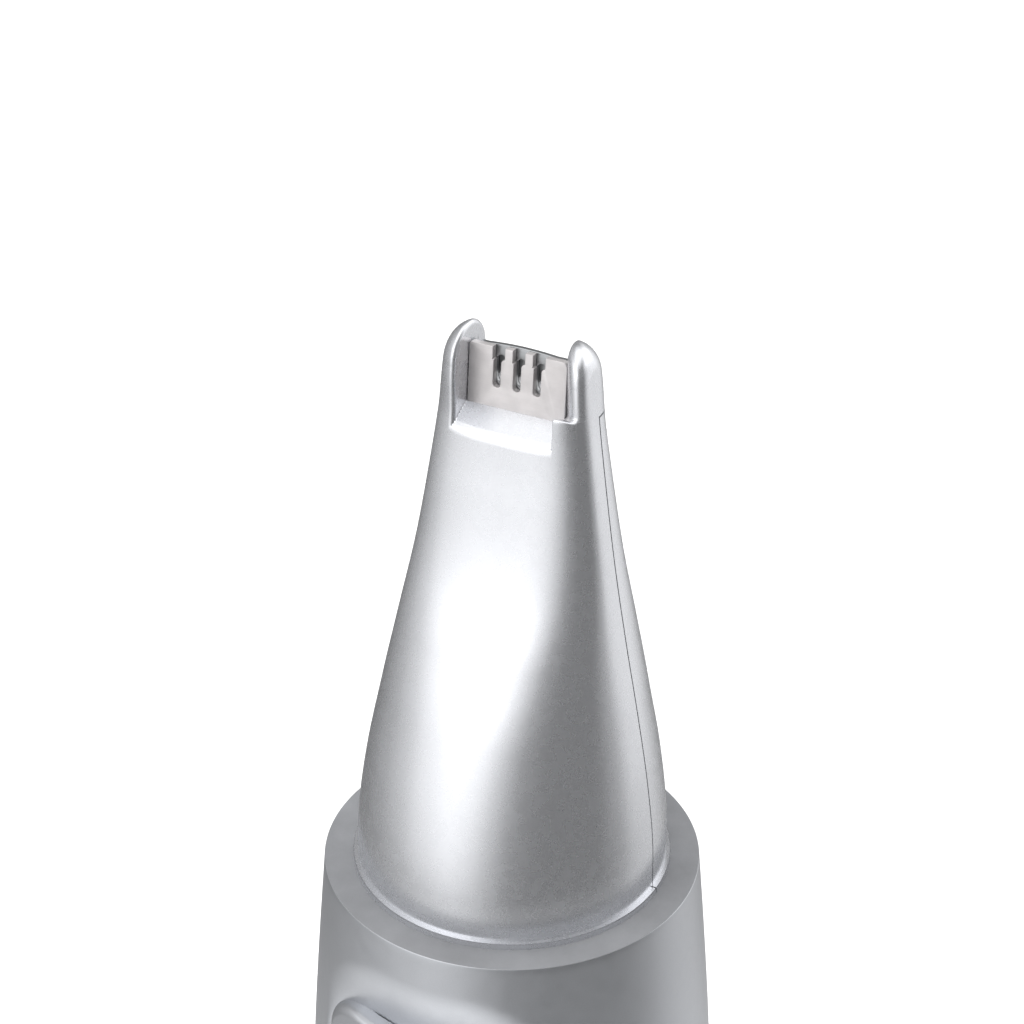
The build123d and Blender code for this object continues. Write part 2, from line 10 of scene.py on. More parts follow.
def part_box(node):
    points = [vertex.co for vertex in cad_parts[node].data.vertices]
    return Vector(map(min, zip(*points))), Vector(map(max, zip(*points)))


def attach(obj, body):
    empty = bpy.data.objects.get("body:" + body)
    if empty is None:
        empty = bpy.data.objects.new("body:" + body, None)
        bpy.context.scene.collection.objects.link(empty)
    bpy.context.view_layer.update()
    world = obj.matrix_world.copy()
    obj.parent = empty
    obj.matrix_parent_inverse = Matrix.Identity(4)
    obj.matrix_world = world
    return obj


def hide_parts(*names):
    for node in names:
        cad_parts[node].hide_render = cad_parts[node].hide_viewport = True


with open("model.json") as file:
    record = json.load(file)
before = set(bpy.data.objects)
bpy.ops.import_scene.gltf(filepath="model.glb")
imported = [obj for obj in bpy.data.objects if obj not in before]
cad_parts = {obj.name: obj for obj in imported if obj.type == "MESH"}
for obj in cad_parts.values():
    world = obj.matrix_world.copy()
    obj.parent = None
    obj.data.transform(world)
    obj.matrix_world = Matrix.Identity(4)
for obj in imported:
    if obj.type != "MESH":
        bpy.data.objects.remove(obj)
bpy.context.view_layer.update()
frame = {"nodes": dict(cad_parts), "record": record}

# A battery nose hair trimmer standing on its cap. Shapes are worked out in millimetres in the
# CAD frame and scaled to metres where a mesh is made. Heights in the head are above the collar.
MM = 0.001
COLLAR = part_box("housing")[1].z / MM
SPIGOT_LENGTH = 5.0
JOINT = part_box("battery_cap")[1].z / MM - SPIGOT_LENGTH
EAR_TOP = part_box("head_front_shell")[1].z / MM - COLLAR

# ---------------------------------------------------------------- mesh tools

SETTLE_STEP = 0.01
NORMAL_STEP = 0.015
LEAST_SLOPE = 0.05
LEAST_SQUARED_SLOPE = 0.05
SHARP_ANGLE = radians(32)
FLAT_ANGLE = radians(50)
WELD = 1e-7


def finished(mesh, name, body, node, material):
    """Object that stands for a CAD node, on its body and with its record slot."""
    piece = bpy.data.objects.new(name, mesh)
    bpy.context.scene.collection.objects.link(piece)
    mesh.materials.clear()
    mesh.materials.append(material)
    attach(piece, body)
    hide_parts(node)
    return piece


def mesh_from(name, points, faces):
    """Smooth-shaded mesh from points in millimetres."""
    mesh = bpy.data.meshes.new(name)
    mesh.from_pydata((np.asarray(points) * MM).tolist(), [], np.asarray(faces).tolist())
    mesh.validate()
    mesh.polygons.foreach_set("use_smooth", np.ones(len(mesh.polygons), bool))
    return mesh


def spaced(*spans):
    """Grid lines through (start, end, step) spans that follow on from each other."""
    lines = [np.linspace(a, b, round((b - a) / step) + 1)[:-1] for a, b, step in spans]
    return np.concatenate(lines + [[spans[-1][1]]])


def gradient(field, points, step):
    """Central differences of a field at each point."""
    slopes = []
    for axis in range(3):
        shift = np.zeros(3)
        shift[axis] = step
        slopes.append(field(*(points + shift).T) - field(*(points - shift).T))
    return np.stack(slopes, 1) / (2 * step)


def settle(field, points, reach, rounds=5):
    """Moves points onto the field's zero surface, each by no more than reach."""
    start = points.copy()
    for _ in range(rounds):
        slope = gradient(field, points, SETTLE_STEP)
        size = np.maximum((slope**2).sum(1), LEAST_SQUARED_SLOPE)
        points = points - (field(*points.T) / size)[:, None] * slope
        points = start + np.clip(points - start, -reach, reach)
    return points


def surface_net(field, xs, ys, zs):
    """Quads round the solid where field(x, y, z) is negative, one point to each crossed cell."""
    lines = (xs, ys, zs)
    values = field(*np.meshgrid(xs, ys, zs, indexing="ij", sparse=True))
    inside = values < 0
    cells = tuple(len(line) - 1 for line in lines)
    total = np.zeros(cells + (3,), np.float32)
    count = np.zeros(cells, np.int16)
    quads = []
    for axis in range(3):
        low = [slice(None)] * 3
        high = [slice(None)] * 3
        low[axis] = slice(None, -1)
        high[axis] = slice(1, None)
        first, second = values[tuple(low)], values[tuple(high)]
        crossed = (first < 0) != (second < 0)
        where = np.argwhere(crossed)
        share = first[crossed] / (first[crossed] - second[crossed])
        place = np.stack([lines[k][where[:, k]] for k in range(3)], 1)
        length = lines[axis][where[:, axis] + 1] - lines[axis][where[:, axis]]
        place[:, axis] += share * length
        b, c = (axis + 1) % 3, (axis + 2) % 3
        around = []
        for back_b, back_c in ((1, 1), (0, 1), (0, 0), (1, 0)):
            cell = where.copy()
            cell[:, b] -= back_b
            cell[:, c] -= back_c
            around.append(cell)
            np.add.at(total, tuple(cell.T), place)
            np.add.at(count, tuple(cell.T), 1)
        ring = np.stack(around, 1)
        flip = ~inside[tuple(where.T)]
        ring[flip] = ring[flip, ::-1]
        quads.append(ring)
    used = count > 0
    number = np.full(cells, -1)
    number[used] = np.arange(used.sum())
    points = (total[used] / count[used][:, None]).astype(float)
    faces = number[tuple(np.moveaxis(np.concatenate(quads), 2, 0))]
    return points, faces


def cut(mesh, cutter, operation):
    """A new mesh: the first one cut by the second."""
    blank = bpy.data.objects.new("blank", mesh)
    tool = bpy.data.objects.new("tool", cutter)
    for made in (blank, tool):
        bpy.context.scene.collection.objects.link(made)
    step = blank.modifiers.new("cut", "BOOLEAN")
    step.operation = operation
    step.solver = "EXACT"
    step.object = tool
    graph = bpy.context.evaluated_depsgraph_get()
    result = bpy.data.meshes.new_from_object(blank.evaluated_get(graph))
    for made in (blank, tool):
        bpy.data.objects.remove(made)
    return result


def true_normals(mesh, field):
    """Gives each face corner the field's own normal, and cut faces their flat one."""
    corners = np.zeros(len(mesh.loops), int)
    mesh.loops.foreach_get("vertex_index", corners)
    sizes = np.zeros(len(mesh.polygons), int)
    mesh.polygons.foreach_get("loop_total", sizes)
    places = np.zeros(len(mesh.vertices) * 3)
    mesh.vertices.foreach_get("co", places)
    centres = np.zeros(len(mesh.polygons) * 3)
    mesh.polygons.foreach_get("center", centres)
    flat = np.zeros(len(mesh.polygons) * 3)
    mesh.polygons.foreach_get("normal", flat)
    flat = np.repeat(flat.reshape(-1, 3), sizes, axis=0)
    centre = np.repeat(centres.reshape(-1, 3), sizes, axis=0)
    corner = places.reshape(-1, 3)[corners]
    probe = corner + 0.2 * (centre - corner)
    slope = gradient(field, probe / MM, NORMAL_STEP)
    slope /= np.maximum(np.linalg.norm(slope, axis=1), 1e-6)[:, None]
    agree = (slope * flat).sum(1) > cos(FLAT_ANGLE)
    mesh.normals_split_custom_set(np.where(agree[:, None], slope, flat).tolist())


def weighted(mesh):
    """A new mesh whose flat faces stay flat beside their small roundings."""
    mesh.set_sharp_from_angle(angle=SHARP_ANGLE)
    holder = bpy.data.objects.new("holder", mesh)
    bpy.context.scene.collection.objects.link(holder)
    step = holder.modifiers.new("normals", "WEIGHTED_NORMAL")
    step.keep_sharp = True
    graph = bpy.context.evaluated_depsgraph_get()
    result = bpy.data.meshes.new_from_object(holder.evaluated_get(graph))
    bpy.data.objects.remove(holder)
    return result


def lathe(name, profile, angles, inward=None):
    """Closed mesh from a closed profile of (radius, height), turned about the axis."""
    profile = np.asarray(profile)
    turns = np.asarray(angles)[:, None]
    radius = profile[:, 0][None, :].repeat(len(angles), 0)
    height = profile[:, 1][None, :].repeat(len(angles), 0)
    if inward is not None:
        radius = radius - inward(radius * np.sin(turns), -radius * np.cos(turns), height)
    points = np.stack([radius * np.sin(turns), -radius * np.cos(turns), height], 2)
    rows, columns = len(angles), len(profile)
    i, j = np.meshgrid(np.arange(rows), np.arange(columns), indexing="ij")
    i2, j2 = (i + 1) % rows, (j + 1) % columns
    faces = np.stack([i * columns + j, i2 * columns + j, i2 * columns + j2, i * columns + j2], 2)
    mesh = mesh_from(name, points.reshape(-1, 3), faces.reshape(-1, 4))
    tidy = bmesh.new()
    tidy.from_mesh(mesh)
    bmesh.ops.remove_doubles(tidy, verts=tidy.verts, dist=WELD)
    bmesh.ops.recalc_face_normals(tidy, faces=tidy.faces)
    tidy.to_mesh(mesh)
    tidy.free()
    mesh.polygons.foreach_set("use_smooth", np.ones(len(mesh.polygons), bool))
    return mesh


def box_mesh(low, high):
    """Closed box between two corners in millimetres."""
    points = [
        (x, y, z)
        for x in (low[0], high[0]) for y in (low[1], high[1]) for z in (low[2], high[2])
    ]
    faces = [(0, 1, 3, 2), (4, 6, 7, 5), (0, 4, 5, 1), (2, 3, 7, 6), (0, 2, 6, 4), (1, 5, 7, 3)]
    return mesh_from("box", points, faces)


# ---------------------------------------------------------------- solid fields


def round_and(a, b, radius):
    """Intersection of two solids with its outer edge rounded."""
    u = np.maximum(radius + a, 0)
    v = np.maximum(radius + b, 0)
    return np.minimum(-radius, np.maximum(a, b)) + np.sqrt(u * u + v * v)


def round_or(a, b, radius):
    """Union of two solids with its inner edge rounded."""
    return -round_and(-a, -b, radius)


def smooth_step(low, high, value):
    """0 up to low, 1 from high, and an even curve between."""
    t = np.clip((value - low) / (high - low), 0, 1)
    return t * t * (3 - 2 * t)


def through(stations, height, column):
    """Smooth curve through one column of the stations."""
    table = np.asarray(stations)
    heights, values = table[:, 0], table[:, column]
    slopes = np.gradient(values, heights)
    i = np.clip(np.searchsorted(heights, height) - 1, 0, len(heights) - 2)
    span = heights[i + 1] - heights[i]
    t = np.clip((height - heights[i]) / span, 0, 1)
    curve = (1 + 2 * t) * (1 - t) ** 2 * values[i] + t * t * (3 - 2 * t) * values[i + 1]
    return curve + t * (1 - t) * span * ((1 - t) * slopes[i] - t * slopes[i + 1])


# ---------------------------------------------------------------- materials


class Recipe:
    """Short way to write a node material round one Principled shader."""

    def __init__(self, name, colour, metallic, roughness):
        self.material = bpy.data.materials.new(name)
        self.material.use_nodes = True
        self.nodes = self.material.node_tree.nodes
        self.links = self.material.node_tree.links
        self.shader = self.nodes["Principled BSDF"]
        self.shader.inputs["Metallic"].default_value = metallic
        self.colour = colour
        self.roughness = roughness
        self.place = self.nodes.new("ShaderNodeTexCoord").outputs["Object"]

    def stretched(self, scale):
        """Object coordinates with each axis scaled."""
        mapping = self.nodes.new("ShaderNodeMapping")
        mapping.inputs["Scale"].default_value = scale
        self.links.new(self.place, mapping.inputs["Vector"])
        return mapping.outputs["Vector"]

    def noise(self, size_mm, detail=3.0, place=None):
        """Noise whose features are about this many millimetres across."""
        node = self.nodes.new("ShaderNodeTexNoise")
        node.inputs["Scale"].default_value = 1.0 / (size_mm * MM)
        node.inputs["Detail"].default_value = detail
        self.links.new(place or self.place, node.inputs["Vector"])
        return node.outputs["Fac"]

    def between(self, factor, low, high):
        """Spreads a noise's middle range between two values."""
        node = self.nodes.new("ShaderNodeMapRange")
        node.inputs["From Min"].default_value = 0.3
        node.inputs["From Max"].default_value = 0.7
        node.inputs["To Min"].default_value = low
        node.inputs["To Max"].default_value = high
        self.links.new(factor, node.inputs["Value"])
        return node.outputs["Result"]

    def tint(self, factor, spread):
        """Base colour that varies a little, lighter and darker."""
        ramp = self.nodes.new("ShaderNodeValToRGB")
        for stop, place, sign in zip(ramp.color_ramp.elements, (0.3, 0.7), (-1, 1)):
            stop.position = place
            stop.color = [min(1, c * (1 + sign * spread)) for c in self.colour] + [1]
        self.links.new(factor, ramp.inputs["Fac"])
        self.links.new(ramp.outputs["Color"], self.shader.inputs["Base Color"])

    def gloss(self, factor, spread):
        """Roughness that varies round its own value."""
        made = self.between(factor, self.roughness - spread, self.roughness + spread)
        self.links.new(made, self.shader.inputs["Roughness"])

    def relief(self, factor, depth_mm, under=None):
        """Bump of a real depth, over an earlier one if there is one."""
        bump = self.nodes.new("ShaderNodeBump")
        bump.inputs["Distance"].default_value = depth_mm * MM
        self.links.new(factor, bump.inputs["Height"])
        if under:
            self.links.new(under, bump.inputs["Normal"])
        self.links.new(bump.outputs["Normal"], self.shader.inputs["Normal"])
        return bump.outputs["Normal"]


def lacquer(name, colour, metallic, roughness):
    """Silver lacquer on plastic: metal flake under a satin coat, with faint orange peel."""
    r = Recipe(name, colour, metallic, roughness)
    flake = r.noise(0.06, 2.0)
    r.tint(flake, 0.025)
    r.gloss(r.noise(0.6, 4.0), 0.03)
    peel = r.relief(r.noise(1.3, 2.0), 0.0025)
    r.relief(flake, 0.0006, peel)
    return r.material


def brushed(name, colour, metallic, roughness, along, depth_mm=0.002):
    """Bare metal with fine grinding marks along one axis (0, 1 or 2)."""
    r = Recipe(name, colour, metallic, roughness)
    scale = [1.0, 1.0, 1.0]
    scale[along] = 0.04
    marks = r.noise(0.05, 4.0, r.stretched(scale))
    r.tint(r.noise(0.8, 3.0), 0.06)
    r.gloss(marks, 0.06)
    r.relief(marks, depth_mm)
    return r.material


def moulded(name, colour, roughness, grain_mm=0.25, depth_mm=0.006):
    """Moulded plastic or rubber with spark-eroded grain and faint flow marks."""
    r = Recipe(name, colour, 0.0, roughness)
    grain = r.noise(grain_mm, 5.0)
    r.tint(r.noise(3.0, 3.0), 0.12)
    r.gloss(grain, 0.07)
    r.relief(grain, depth_mm)
    return r.material


def pressed_metal(name, colour, roughness):
    """Plated or rolled sheet and turned metal with mottled tarnish."""
    r = Recipe(name, colour, 1.0, roughness)
    r.tint(r.noise(1.4, 5.0), 0.14)
    r.gloss(r.noise(0.5, 5.0), 0.09)
    r.relief(r.noise(0.12, 3.0), 0.0015)
    return r.material


materials = {
    "silver_lacquer": lacquer("silver_lacquer", (0.74, 0.75, 0.78), 0.9, 0.27),
    "grey_lacquer": lacquer("grey_lacquer", (0.56, 0.575, 0.605), 0.9, 0.33),
    "blade_steel": brushed("blade_steel", (0.68, 0.655, 0.655), 0.8, 0.5, 0),
    "dark_steel": brushed("dark_steel", (0.4, 0.41, 0.42), 1.0, 0.34, 0),
    "motor_steel": pressed_metal("motor_steel", (0.52, 0.52, 0.53), 0.32),
    "nickel": pressed_metal("nickel", (0.71, 0.68, 0.62), 0.24),
    "bronze": pressed_metal("bronze", (0.5, 0.32, 0.15), 0.42),
    "brass_sheet": pressed_metal("brass_sheet", (0.8, 0.6, 0.28), 0.27),
    "copper": pressed_metal("copper", (0.83, 0.43, 0.28), 0.3),
    "ferrite": moulded("ferrite", (0.035, 0.034, 0.036), 0.62, 0.15, 0.01),
    "black_plastic": moulded("black_plastic", (0.018, 0.018, 0.02), 0.42),
    "black_rubber": moulded("black_rubber", (0.014, 0.014, 0.014), 0.7, 0.12, 0.008),
    "white_plastic": moulded("white_plastic", (0.78, 0.77, 0.72), 0.36),
    "cell_jacket": moulded("cell_jacket", (0.03, 0.16, 0.1), 0.25, 0.5, 0.002),
}

for row in frame["record"]["subparts"]:
    for surface in frame["nodes"][row["node"]].material_slots:
        surface.material = materials[row["material_slot"]]

# ---------------------------------------------------------------- head shells

# height, half width, half depth, squareness, shift back
HEAD = (
    (0.0, 8.63, 8.63, 2.0, 0.0),
    (3.0, 8.52, 8.6, 2.0, 0.08),
    (7.0, 8.0, 7.93, 2.05, 0.2),
    (11.0, 7.25, 6.72, 2.15, 0.38),
    (15.0, 6.42, 5.08, 2.5, 0.6),
    (19.0, 5.65, 3.47, 2.95, 0.83),
    (24.0, 4.85, 2.5, 3.3, 1.0),
    (28.0, 4.3, 2.06, 3.4, 1.1),
    (32.0, 3.93, 1.7, 3.5, 1.17),
)
WALL = 1.0
CAVITY_TOP = 26.0
FLANGE_RADIUS = 8.87
FLANGE_HEIGHT = 0.35
FLANGE_CHAMFER = 0.04
FLANGE_INSIDE = 8.2
ARCH_RADIUS = 1.9
ARCH_HEIGHT = EAR_TOP - ARCH_RADIUS
EAR_BLEND_START = 27.0
EAR_SHOULDER = 1.35
LEFT_RIM = 0.3
RIGHT_RIM = 0.06
POCKET = 2.95
LEDGE_ROUNDING = 0.35
LEDGE_SLOPE = radians(25.0)
RELIEF_START = np.array((2.69, 0.85))
RELIEF_END = np.array((3.97, -1.2))
RELIEF_ROUNDING = 0.8
# The foot of the relief: a shelf that rises towards the front
SHELF_HEIGHT = 27.7
SHELF_RISE = radians(28.0)
SHELF_ROUNDING = 0.2
SHELF_FILLET = 0.3
PARTING_TOP = (1.28, 27.9)
PARTING_GAP = 0.09
BOSS_RADIUS = 1.7
BOSS_ENDS = (-1.6, 2.3)
BOSS_HEIGHT = 14.0

# The blades' shared plane: x across, y up the guard's face, and depth back from it
BLADE_FOOT = (-0.12, 0.59, 27.47)
BLADE_LEAN = radians(5.7)
STACK_DEPTH = 1.06
STACK_OVERLAP = 0.06
CHANNEL = 2.81
CHANNEL_FLOOR = CAVITY_TOP - 0.5
# The head is meshed this far past the collar, then cut off flat
SKIRT = 0.3


def loft(x, y, h, inset=0.0):
    """Distance from the head's tapering outline, moved in by inset."""
    a = through(HEAD, h, 1) - inset
    b = through(HEAD, h, 2) - inset
    n = through(HEAD, h, 3)
    u = np.abs(x) / a
    v = np.abs(y - through(HEAD, h, 4)) / b
    q = np.maximum((u**n + v**n) ** (1 / n), 1e-3)
    slope = np.hypot((u / q) ** (n - 1) / a, (v / q) ** (n - 1) / b)
    return (q - 1) / np.maximum(slope, LEAST_SLOPE)


def ears(x, y, h):
    """Distance from the ears' shared outline: a half round from the side, with shoulders."""
    rise = np.maximum(h - ARCH_HEIGHT, 0)
    low = np.minimum(h, ARCH_HEIGHT)
    back = y - through(HEAD, low, 4)
    arch = np.hypot(back, rise) - through(HEAD, low, 2)
    return round_and(np.abs(x) - through(HEAD, h, 1), arch, EAR_SHOULDER)


def stack_depth(y, h):
    """Depth behind the guard blade's front face."""
    return (y - BLADE_FOOT[1]) * cos(BLADE_LEAN) - (h - BLADE_FOOT[2]) * sin(BLADE_LEAN)


def head_field(x, y, z):
    """The whole head before it is parted: outside, pocket, ears, blade channel and cavity."""
    h = z - COLLAR
    blend = smooth_step(EAR_BLEND_START, ARCH_HEIGHT, h)
    outside = loft(x, y, h) * (1 - blend) + ears(x, y, h) * blend
    back_foot = BLADE_FOOT[1] + STACK_DEPTH
    out = np.maximum(np.maximum(BLADE_FOOT[1] - y, y - back_foot), 0)
    floor = (h - BLADE_FOOT[2] + tan(LEDGE_SLOPE) * out) * cos(LEDGE_SLOPE)
    tongue = round_and(outside, floor, LEDGE_ROUNDING)
    line = RELIEF_END - RELIEF_START
    normal = np.array((line[1], -line[0])) / hypot(*line)
    relief = (x - RELIEF_START[0]) * normal[0] + (y - RELIEF_START[1]) * normal[1]
    shelf = (h - SHELF_HEIGHT - tan(SHELF_RISE) * (BLADE_FOOT[1] - y)) * cos(SHELF_RISE)
    dome = round_and(outside, relief, RELIEF_ROUNDING)
    kept = round_or(dome, round_and(outside, shelf, SHELF_ROUNDING), SHELF_FILLET)
    outer = np.where(x > 0, np.maximum(kept, outside), outside)
    depth = stack_depth(y, h)
    across = np.abs(x - BLADE_FOOT[0]) - CHANNEL
    wall = np.minimum(POCKET - np.abs(x), np.maximum(-across, depth - STACK_DEPTH))
    ear = round_and(outer, wall, np.where(x > 0, RIGHT_RIM, LEFT_RIM))
    solid = np.minimum(ear, tongue)
    channel = np.maximum(across, STACK_OVERLAP - depth)
    channel = np.maximum(channel, depth - STACK_DEPTH + STACK_OVERLAP)
    channel = np.maximum(channel, CHANNEL_FLOOR - h)
    cavity = np.maximum(loft(x, y, h, WALL), h - CAVITY_TOP)
    boss = np.hypot(x, h - BOSS_HEIGHT) - BOSS_RADIUS
    boss = np.maximum(boss, np.minimum(y - BOSS_ENDS[0], BOSS_ENDS[1] - y))
    cavity = np.maximum(cavity, -boss)
    solid = np.maximum(solid, -np.minimum(channel, cavity))
    return np.maximum(solid, -h - SKIRT)


# The grid is fine round the tip and coarser down the plain sides
MARGIN = 0.2
FINE, WIDE, TALL = 0.1, 0.16, 0.3
TIP_HALF_WIDTH = 4.7
TIP_DEPTHS = (-1.8, 3.7)
SIDE_HEIGHTS = (0.9, 25.0)
HEAD_REACH = 0.12
FLANGE_SEGMENTS = 240
edge = FLANGE_RADIUS + MARGIN
x_lines = spaced(
    (-edge, -TIP_HALF_WIDTH, WIDE), (-TIP_HALF_WIDTH, TIP_HALF_WIDTH, FINE),
    (TIP_HALF_WIDTH, edge, WIDE),
)
y_lines = spaced((-edge, TIP_DEPTHS[0], WIDE), (*TIP_DEPTHS, FINE), (TIP_DEPTHS[1], edge, WIDE))
z_lines = COLLAR + spaced(
    (-0.4, SIDE_HEIGHTS[0], FINE), (*SIDE_HEIGHTS, TALL), (SIDE_HEIGHTS[1], EAR_TOP + MARGIN, FINE)
)
points, faces = surface_net(head_field, x_lines, y_lines, z_lines)
points = settle(head_field, points, HEAD_REACH)
below = box_mesh((-COLLAR, -COLLAR, COLLAR - 1.0), (COLLAR, COLLAR, COLLAR))
ring = [
    (FLANGE_INSIDE, -SKIRT), (FLANGE_RADIUS, -SKIRT),
    (FLANGE_RADIUS, FLANGE_HEIGHT - FLANGE_CHAMFER),
    (FLANGE_RADIUS - FLANGE_CHAMFER, FLANGE_HEIGHT), (FLANGE_INSIDE, FLANGE_HEIGHT),
]
ring = [(r, COLLAR + h) for r, h in ring]
flange = lathe("flange", ring, np.linspace(0, 2 * pi, FLANGE_SEGMENTS, endpoint=False))
whole_head = cut(mesh_from("whole_head", points, faces), flange, "UNION")
whole_head = cut(whole_head, below, "DIFFERENCE")


def behind_parting(gap):
    """Prism over everything behind the parting line, moved back by gap."""
    side = [(gap, -1.0), (gap, 0.0), (PARTING_TOP[0] + gap, PARTING_TOP[1] - gap)]
    side += [(COLLAR, PARTING_TOP[1] - gap), (COLLAR, -1.0)]
    count = len(side)
    prism = [(x, y, COLLAR + h) for x in (-COLLAR, COLLAR) for y, h in side]
    walls = [(i, (i + 1) % count, (i + 1) % count + count, i + count) for i in range(count)]
    mesh = bpy.data.meshes.new("behind_parting")
    mesh.from_pydata([[c * MM for c in p] for p in prism], [], walls + [
        tuple(reversed(range(count))), tuple(range(count, 2 * count))])
    solid = bmesh.new()
    solid.from_mesh(mesh)
    bmesh.ops.recalc_face_normals(solid, faces=solid.faces)
    solid.to_mesh(mesh)
    solid.free()
    return mesh


for name, gap, operation in (
    ("head_front_shell", -PARTING_GAP / 2, "DIFFERENCE"),
    ("head_rear_shell", PARTING_GAP / 2, "INTERSECT"),
):
    shell = cut(whole_head, behind_parting(gap), operation)
    shell.polygons.foreach_set("use_smooth", np.ones(len(shell.polygons), bool))
    true_normals(shell, head_field)
    finished(shell, name + "_lacquered", "head", name,
             materials["silver_lacquer"])

# ---------------------------------------------------------------- handle, cap and slide switch

# Height and radius of the body's outline, from the joint with the cap to the collar
BODY = (
    (22.0, 11.69), (31.0, 11.96), (42.0, 12.19), (54.0, 12.34), (66.0, 12.385), (79.0, 12.22),
    (92.5, 11.74), (98.0, 11.44), (104.0, 11.0), (110.0, 10.49),
)
BORE = 10.2
BULKHEAD = (97.0, 99.0)
SOCKET = 8.3
SEAL_HOLE = 4.0
# Outlines seen from the front: half width, bottom, top, corner
SCOOP = (7.4, COLLAR - 23.6, COLLAR - 1.9, 5.5)
SCOOP_DEPTH = 0.75
# How far the scoop takes to reach its depth, at its sides and at its top, and where that changes
SCOOP_SLOPE = (0.8, 4.1)
SCOOP_TOP_ZONE = (7.5, 3.0)
PAD = (6.8, COLLAR - 22.9, COLLAR - 5.85, 2.6)
PAD_HEIGHT = 0.3
PAD_GAP = 0.04
PAD_ROUNDING = 0.4
RIB_HEIGHTS = (91.0, 93.5, 96.0)
# A rib's half length, half width and height, and how its edge and foot are rounded
RIB = (3.4, 0.45, 0.26)
RIB_ROUNDING = 0.2
RIB_FILLET = 0.12
# The stem's half width, bottom and top, and the distances in front of the axis that it spans
STEM = (2.0, 91.0, 93.6)
STEM_DEPTHS = (11.4, 8.6)
STEM_TRAVEL = 2.4
STEM_CLEARANCE = 0.15
# Points in each rounded corner of a profile, and how much of a short side an arc may take
ARC_STEPS = 5
ARC_SHARE = 0.45


def body_radius(z):
    """Radius of the handle's outline at a height."""
    return through(BODY, np.clip(z, BODY[0][0], BODY[-1][0]), 1)


def outline(x, z, half_width, bottom, top, corner):
    """Distance from a rounded rectangle seen from the front."""
    u = np.abs(x) - half_width + corner
    v = np.abs(z - (bottom + top) / 2) - (top - bottom) / 2 + corner
    return np.hypot(np.maximum(u, 0), np.maximum(v, 0)) + np.minimum(np.maximum(u, v), 0) - corner


def rounded(points, radius, steps=ARC_STEPS):
    """Profile points with each corner turned by an arc of this radius, where there is room."""
    made = []
    for i, point in enumerate(points):
        before = np.subtract(points[i - 1], point)
        after = np.subtract(points[(i + 1) % len(points)], point)
        reach = min(radius, ARC_SHARE * hypot(*before), ARC_SHARE * hypot(*after))
        start = point + before / hypot(*before) * reach
        end = point + after / hypot(*after) * reach
        for t in np.linspace(0, 1, steps):
            turned = (1 - t) ** 2 * start + 2 * t * (1 - t) * np.array(point) + t * t * end
            made.append(tuple(turned))
    return made


def scoop_inward(x, y, z):
    """How far the thumb scoop dips below the body's surface."""
    inside = -outline(x, z, *SCOOP)
    near_top = smooth_step(SCOOP[2] - SCOOP_TOP_ZONE[0], SCOOP[2] - SCOOP_TOP_ZONE[1], z)
    slope = SCOOP_SLOPE[0] + (SCOOP_SLOPE[1] - SCOOP_SLOPE[0]) * near_top
    dip = SCOOP_DEPTH * smooth_step(0, slope, inside)
    on_wall = np.hypot(x, y) > BORE + 0.1
    return np.where(on_wall & (y < 0), dip, 0)


# The front of the housing, where the scoop is, has more segments and rows than the rest
SCOOP_SECTOR = radians(48)
SECTOR_SEGMENTS = (300, 180)
SCOOP_ROWS_FROM = 82.0
ROW_STEPS = (1.0, 0.12)
END_MARGIN = 0.5
COLLAR_ROUNDING = 0.06
angles = np.concatenate([
    np.linspace(-SCOOP_SECTOR, SCOOP_SECTOR, SECTOR_SEGMENTS[0], endpoint=False),
    np.linspace(SCOOP_SECTOR, 2 * pi - SCOOP_SECTOR, SECTOR_SEGMENTS[1], endpoint=False),
])
wall_heights = spaced(
    (JOINT + END_MARGIN, SCOOP_ROWS_FROM, ROW_STEPS[0]),
    (SCOOP_ROWS_FROM, COLLAR - END_MARGIN, ROW_STEPS[1]),
)
outer_wall = [(float(body_radius(z)), z) for z in wall_heights]
inner_steps = [
    (SOCKET, COLLAR), (SOCKET, BULKHEAD[1]), (SEAL_HOLE, BULKHEAD[1]),
    (SEAL_HOLE, BULKHEAD[0]), (BORE, BULKHEAD[0]), (BORE, JOINT),
]
collar_edge = rounded([outer_wall[-1], (BODY[-1][1], COLLAR)] + inner_steps
                      + [(BODY[0][1], JOINT), outer_wall[0]], COLLAR_ROUNDING)
housing_profile = outer_wall + collar_edge[ARC_STEPS:-ARC_STEPS]
housing = lathe("housing", housing_profile, angles, scoop_inward)
opening = box_mesh(
    (-STEM[0] - STEM_CLEARANCE, -COLLAR / 4, STEM[1] - STEM_CLEARANCE),
    (STEM[0] + STEM_CLEARANCE, -BORE + 1.6, STEM[2] + STEM_TRAVEL + STEM_CLEARANCE),
)
housing = cut(housing, opening, "DIFFERENCE")
housing = weighted(housing)
finished(housing, "housing_lacquered", "handle", "housing",
         materials["grey_lacquer"])

# The collar's flat face is painted a darker, matte flat grey: painted shade standing in for the even
# shade on the housing's own plastic at this flat top face
FACE_TOLERANCE = 0.02
housing.materials.append(moulded("collar_face_painted_shade", (0.2, 0.204, 0.214), 0.6, 0.12, 0.003))
for polygon in housing.polygons:
    if polygon.center.z > (COLLAR - FACE_TOLERANCE) * MM:
        polygon.material_index = 1

